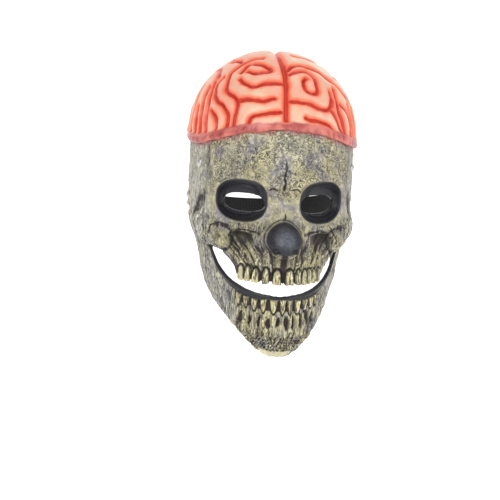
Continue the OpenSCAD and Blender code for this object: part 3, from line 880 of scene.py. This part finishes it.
def make_jaw():
    """The lower jaw, with an arm up each side that goes inside the skull casting to its pivot."""
    columns, rows, mean_radius = 420, 176, 66
    s = np.linspace(-1, 1, columns)
    theta = (JAW_REAR_ANGLE * (0.88 * s + 0.12 * s ** 3))[:, None]
    flat = np.abs(theta)
    top = curve(flat, LIP) + 0.5 * rough(theta / 3, 0 * theta, 101)
    bottom = curve(flat, CHIN_EDGE) + 0.8 * rough(theta / 3, 0 * theta, 102)
    z = top + (bottom - top) * np.linspace(0, 1, rows)[None, :]
    theta = np.broadcast_to(theta, z.shape).copy()
    flat = np.abs(theta)
    w, f = curve(z, JAW), curve(z, JAW, 2)
    sin, cos = np.sin(np.radians(theta)), np.cos(np.radians(theta))
    x, ax = w * sin, np.abs(w * sin)
    arc = np.radians(theta) * mean_radius

    # The arms go up inside the skull casting
    face = curve(flat, FACE_EDGE)
    drop_behind = 4 * smooth((5 - f * cos) / 10)
    under = smooth((z - (face - 4 - drop_behind)) / 2.6) * smooth((flat - 50) / 8)
    recess = 4.2 * under

    # Lip, teeth and the leaf-shaped pits between the roots
    row = z - 0.0055 * x ** 2
    crown, gap, root = tooth_row(x, row, LOWER_TEETH, LIP_Z - 16.5, LIP_Z - 3, waist=0.42, seed=7)
    mouth = smooth((40 - ax) / 3) * (z < -192)
    from_top = top - z
    band = 4.2 + 0.16 * np.clip(ax - 6, 0, 24) - 0.12 * np.clip(ax - 36, 0, 30)
    band = band + 0.6 * rough(theta / 6, z / 6, 103)
    lip = smooth((band - from_top) / 1.4) * smooth((82 - flat) / 10) * (1 - under)
    teeth = mouth * (1 - lip)
    crown, gap, root = crown * teeth, gap * teeth, root * mouth
    bead = 1.0 * ridge(from_top - 2.2, 2.0) * smooth((66 - flat) / 10)
    leaf = np.zeros_like(x)
    random = np.random.RandomState(9)
    bent = x + 1.6 * rough(x / 4, z / 5, 105)
    for middle in (-34, -26.5, -18.6, -10, -1, 7, 14, 21.5, 28.5, 34):
        centre, tall = -231 + random.uniform(-2.5, 2) + 0.005 * middle ** 2, random.uniform(5.5, 10)
        lean = (z - centre) * 0.09 * np.sign(middle)
        wide = random.uniform(1.7, 3.5)
        leaf = np.maximum(leaf, patch(bent + lean, z, (middle, centre), (wide, tall), 0.35))
    chin = smooth((-241 - z) / 6) * smooth((46 - ax) / 8)
    wander = 1.1 * rough(arc / 4, z / 4, 106)
    pitted = smooth((0.42 - pits(arc / 3.2 + wander, z / 4.2 + wander, 104)) / 0.26) * chin
    seams = ridge(rough(arc / 4.5 + wander, z / 6, 107, 2), 0.1) * chin
    pitted = np.maximum(pitted, 0.8 * seams)
    fine = 1.7 * crown - 1.3 * gap + 1.3 * root - 2.4 * leaf - 1.3 * pitted

    # Streaks and roughness
    bone = (1 - crown) * (1 - lip)
    warp = 2.2 * rough(arc / 8, z / 14, 111)
    comb = rough((arc + warp) / 2.6, z / 19, 112, 3)
    chin_front = smooth((52 - flat) / 16)
    fine = fine + comb * (0.35 + 0.85 * chin_front * (1 - chin)) * bone
    fine = fine + rough(arc / 5, z / 5, 113) * (0.5 + 0.7 * chin) * bone
    fine = fine + rough(arc / 1.6, z / 1.6, 114, 2) * 0.3 * bone
    ramus = 1.6 * ridge(flat - 79 - (z + 150) * 0.12, 6) * smooth((-140 - z) / 10) * smooth((z + 215) / 20)
    chin_edge = 1.5 * ridge(z - bottom - 5, 3.5) * smooth((60 - flat) / 20)
    # A pale strip along the chin's bottom edge, given the inner skin's latex colour
    pale_chin_strip = smooth((6.0 - (z - bottom)) / 1.2) * smooth((16 - np.abs(x + 3)) / 3)
    fine = (fine * (1 - 0.7 * pale_chin_strip) + bead + ramus + chin_edge) * (1 - under)
    fine -= 1.3 * smooth((2.2 - (z - bottom)) / 2.2)
    base = np.stack([(w - recess) * sin, -(f - recess) * cos, z], 2)
    normal = outward(base)
    outer = base + normal * fine[..., None]
    depth = recess + WALL
    inner = np.stack([(w - depth) * sin, -(f - depth) * cos, z], 2)
    inner += normal * (lowest(np.minimum(0, fine), 2) * 0.9)[..., None]

    # Paint
    cavity = np.clip((blur(fine, 3) - fine) * 1.25, 0, 1) * (1 - under)
    inner_edge = smooth((9 - from_top + 2 * rough(arc / 7, z / 7, 115)) / 5) * smooth((flat - 40) / 12)
    inner_edge = inner_edge * smooth((84 - flat) / 8)
    dark_wash_and_shade = np.clip(cavity * bone + gap + 0.95 * leaf + 0.75 * pitted + 0.55 * inner_edge, 0, 1)
    valleys = smooth((0.02 - comb) / 0.4) * chin_front * (1 - chin) * smooth((-224 - z) / 4)
    dark_wash_and_shade = np.clip(dark_wash_and_shade + 0.65 * valleys * (1 - root * 0.7), 0, 1)
    dots = sum(patch(x, row, (middle, -214), (0.9, 1.8)) for middle, _ in LOWER_TEETH)
    dark_wash_and_shade = np.clip(dark_wash_and_shade + 0.5 * dots * crown, 0, 1)
    side_grey_and_nose_highlight = smooth((flat - 30) / 14) * (0.75 + 0.25 * rough(arc / 12, z / 12, 116))
    side_grey_and_nose_highlight = np.clip(side_grey_and_nose_highlight, 0, 1) * (1 - lip)
    smoky = patch(flat, z, (45, -206), (10, 20)) * smooth((0.3 - rough(arc / 3, z / 16, 117)) / 0.6)
    dark_wash_and_shade = np.clip(dark_wash_and_shade + 0.4 * smoky, 0, 1)
    unpainted = 1 - pale_chin_strip
    yellow = 0.45 * patch(ax, z, (26, -232), (9, 14), 0.2)
    warm = np.clip(np.maximum(crown, 0.7 * root * (1 - chin) + yellow), 0, 1)
    inside = inside_share(x.shape)
    zero = np.zeros_like(x)
    streak = np.clip(np.maximum(1 - 0.7 * chin, 0.5 * crown), 0, 1) * (1 - lip) * unpainted
    crackle = np.clip(0.25 + chin, 0, 1) * bone * unpainted
    paints = {"dark_wash_and_shade": (dark_wash_and_shade * unpainted, dark_wash_and_shade * (1 - inside)), "black": (lip, lip * (1 - inside)),
              "red": (zero, zero), "tooth": (warm, zero), "crackle": (crackle, zero),
              "streak": (streak, zero), "side_grey_and_nose_highlight": (side_grey_and_nose_highlight, zero), "inside": (0.9 * pale_chin_strip, inside)}
    keep = np.ones((columns - 1, rows - 1), bool)
    piece = latex_piece("lower_jaw", outer, inner, keep, paints, BONE, 44000)
    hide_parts("jaw_casting")
    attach(piece, "jaw")


# ---------------------------------------------------------------- elastic straps

STRAP_W, STRAP_T = 18.0, 1.6
STRAP_CORNER = 0.75
UPPER_START, LOWER_START = 65, 84


def strap_path(z, inset, back, slope):
    """A function from (angle round the head, height across the band, depth) to points of a strap.

    The strap lies inside the skull casting's section at height z, reaches back behind and slopes down there.
    """
    wide = SKULL_HALF_W + inset
    front = curve(np.array(z), SKULL, 2) + inset

    def at(angle, across, depth):
        a = np.radians(angle)
        reach = np.where(np.cos(a) > 0, front, back) - depth
        sunk = np.maximum(0, -back * np.cos(a)) * math.tan(math.radians(slope))
        return round_head(wide - depth, reach, z + across - sunk, angle)
    return at


def make_strap(name, at, start, node):
    """A band with rounded edges and shallow cords; its UV map holds millimetres along and across it."""
    angles = np.linspace(start, 360 - start, 260)
    r = STRAP_CORNER
    turns = np.radians(np.linspace(0, 90, 4))
    corner = [(STRAP_W / 2 - r + r * math.cos(a), -r + r * math.sin(a)) for a in turns]
    face_end = STRAP_W / 2 - 1.6
    face = [(v, 0.0) for v in np.linspace(face_end, -face_end, 25)]
    far_corner = [(-v, d) for v, d in reversed(corner)]
    half = [(v, -d) for v, d in corner + face + far_corner]
    section = np.array(half + [(v, STRAP_T - d) for v, d in reversed(half)])
    cord_pitch, cord_depth, plain_edge = 2.25, 0.1, 0.9
    cords = cord_depth * (1 - np.cos(section[:, 0] * 2 * math.pi / cord_pitch))
    cords = cords * (np.abs(section[:, 0]) < STRAP_W / 2 - plain_edge)
    depth = section[:, 1] + np.where(section[:, 1] < STRAP_T / 2, cords, -cords)
    grid = at(angles[:, None], section[None, :, 0], depth[None, :])
    rings, around = grid.shape[:2]
    index = np.arange(rings * around).reshape(rings, around)
    nxt = np.roll(index, -1, axis=1)
    quads = np.stack([index[:-1], nxt[:-1], nxt[1:], index[1:]], -1).reshape(-1, 4).tolist()
    quads += [index[0, ::-1].tolist(), index[-1].tolist()]
    mesh = bpy.data.meshes.new(name)
    mesh.from_pydata((grid.reshape(-1, 3) * MM).tolist(), [], quads)
    middle = at(angles, 0.0, 0.0)
    length = np.concatenate([[0], np.cumsum(np.linalg.norm(np.diff(middle, axis=0), axis=1))])
    layer = mesh.uv_layers.new(name="band")
    corners = np.array([loop.vertex_index for loop in mesh.loops])
    uv = np.stack([length[corners // around], section[corners % around, 0]], 1)
    layer.data.foreach_set("uv", uv.astype(np.float32).ravel())
    piece = add_piece(name, mesh, ELASTIC)
    face_outwards(piece)
    mesh.polygons.foreach_set("use_smooth", [len(p.vertices) == 4 for p in mesh.polygons])
    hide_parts(node)
    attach(piece, "mask")


def face_outwards(piece):
    select_only(piece)
    bpy.ops.object.mode_set(mode="EDIT")
    bpy.ops.mesh.select_all(action="SELECT")
    bpy.ops.mesh.normals_make_consistent(inside=False)
    bpy.ops.object.mode_set(mode="OBJECT")


def make_stitches(name, at, start):
    """A box of thread stitches round the rivet at each end of a strap, through both faces."""
    half, count, thread_r, proud, head_radius = 7, 5, 0.3, 0.05, 75
    box = np.array([(half, half), (half, -half), (-half, -half), (-half, half)], float)
    stitches = [(a + (b - a) * (k + 0.12) / count, a + (b - a) * (k + 0.88) / count)
                for a, b in zip(box, np.roll(box, -1, axis=0)) for k in range(count)]
    degrees_per_mm = 1 / math.radians(head_radius)
    pieces = []
    for end in (1, -1):
        for stitch in stitches:
            for depth in (-proud, STRAP_T + proud):
                a, b = [Vector(at(end * (start + (u + half + 0.5) * degrees_per_mm), v, depth) * MM)
                        for u, v in stitch]
                bpy.ops.mesh.primitive_uv_sphere_add(segments=8, ring_count=6, radius=1)
                thread = bpy.context.active_object
                turn = (b - a).to_track_quat("Z", "Y").to_matrix().to_4x4()
                size = Matrix.Diagonal((thread_r * MM, thread_r * MM, (b - a).length * 0.55, 1))
                thread.data.transform(Matrix.Translation((a + b) / 2) @ turn @ size)
                pieces.append(thread)
    select_only(pieces[0])
    for thread in pieces:
        thread.select_set(True)
    bpy.ops.object.join()
    piece = bpy.context.active_object
    piece.name = piece.data.name = name
    piece.data.materials.append(THREAD)
    bpy.ops.object.shade_smooth()
    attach(piece, "mask")


# ---------------------------------------------------------------- foam pads, rivets, tape


def press_down(mesh, share):
    """Thins a pad under the dome from above, clear of the grooves pressed into the latex over it."""
    points = np.empty(len(mesh.vertices) * 3)
    mesh.vertices.foreach_get("co", points)
    points = points.reshape(-1, 3) - (0, 0, BRAIN_BASE * MM)
    level = np.linalg.norm(points / half_axes(-points[:, 1]) / MM, axis=1)
    wanted = level.min() + (level - level.min()) * share
    points = points * (wanted / level)[:, None] + (0, 0, BRAIN_BASE * MM)
    mesh.vertices.foreach_set("co", points.ravel())
    mesh.update()


def make_pad(name, node, body, pressed=1.0):
    """A foam pad with softened corners from its plain CAD block; pressed is the share of its height left."""
    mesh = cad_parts[node].data.copy()
    mesh.materials.clear()
    piece = add_piece(name, mesh, FOAM)
    select_only(piece)
    bpy.ops.object.mode_set(mode="EDIT")
    bpy.ops.mesh.select_all(action="SELECT")
    bpy.ops.mesh.remove_doubles(threshold=1e-5)
    bpy.ops.object.mode_set(mode="OBJECT")
    for kind, settings in (("REMESH", {"mode": "VOXEL", "voxel_size": 0.0014}),
                           ("SMOOTH", {"iterations": 8, "factor": 0.6})):
        modifier = piece.modifiers.new(kind.lower(), kind)
        for key, value in settings.items():
            setattr(modifier, key, value)
        bpy.ops.object.modifier_apply(modifier=modifier.name)
    shade_smooth(piece.data)
    press_down(piece.data, pressed)
    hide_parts(node)
    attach(piece, body)


def keep_node(node, material):
    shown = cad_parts[node]
    shown.data.materials.clear()
    shown.data.materials.append(material)


# ---------------------------------------------------------------- floor and backdrop


def make_backdrop():
    """A pale sweep, in metres: floor, rounded corner and wall."""
    floor_z, near, far, bend, wall_top, half_w = -0.45, -4.0, 1.6, 0.9, 4.0, 5.0
    arc_points = [(far + bend * math.sin(a), floor_z + bend - bend * math.cos(a))
                  for a in np.radians(np.linspace(0, 90, 13))]
    profile = [(near, floor_z), (0.0, floor_z), *arc_points, (far + bend, wall_top)]
    points = [(x, y, z) for y, z in profile for x in (-half_w, half_w)]
    quads = [(2 * k, 2 * k + 1, 2 * k + 3, 2 * k + 2) for k in range(len(profile) - 1)]
    mesh = bpy.data.meshes.new("backdrop")
    mesh.from_pydata(points, [], quads)
    shade_smooth(mesh)
    paper = Finish("backdrop_paper", roughness=0.9, specular=0.1)
    paper.shader.inputs["Base Color"].default_value = (0.92, 0.92, 0.92, 1)
    paper.shader.inputs["Emission Color"].default_value = (1, 1, 1, 1)
    paper.shader.inputs["Emission Strength"].default_value = 0.40
    add_piece("backdrop", mesh, paper.material)


# ---------------------------------------------------------------- the whole mask

BONE = paint_bone("crackled_bone")
BRAIN = paint_brain("brain_flesh")
ELASTIC = paint_elastic("black_elastic")
THREAD = paint_thread("black_thread")
FOAM = paint_foam("black_foam")
NICKEL = paint_metal("nickel_plate", (0.5, 0.49, 0.47), 0.24)
STEEL = paint_metal("zinc_steel", (0.46, 0.46, 0.45), 0.36)
TAPE = paint_tape("cotton_tape")

make_skull()
make_brain()
make_jaw()

upper_path = strap_path(TEMPLE_Z, inset=-3.1, back=114.0, slope=0.0)
lower_path = strap_path(PIVOT_Z, inset=-7.4, back=102.0, slope=13.0)
make_strap("upper_band", upper_path, UPPER_START, "upper_strap")
make_strap("lower_band", lower_path, LOWER_START, "lower_strap")
make_stitches("upper_band_stitches", upper_path, UPPER_START)
make_stitches("lower_band_stitches", lower_path, LOWER_START)

make_pad("crown_cushion", "crown_pad", "mask", pressed=0.55)
make_pad("brow_cushion", "brow_pad", "mask")
make_pad("cheek_cushion_left", "cheek_pad_left", "mask")
make_pad("cheek_cushion_right", "cheek_pad_right", "mask")
make_pad("chin_cushion", "chin_pad", "jaw")

for side in ("left", "right"):
    for node in ("pivot_rivet_", "temple_rivet_"):
        keep_node(node + side, NICKEL)
    for node in ("pivot_rivet_back_", "temple_rivet_back_", "pivot_spacer_", "jaw_eyelet_"):
        keep_node(node + side, STEEL)
keep_node("seam_tape", TAPE)

make_backdrop()
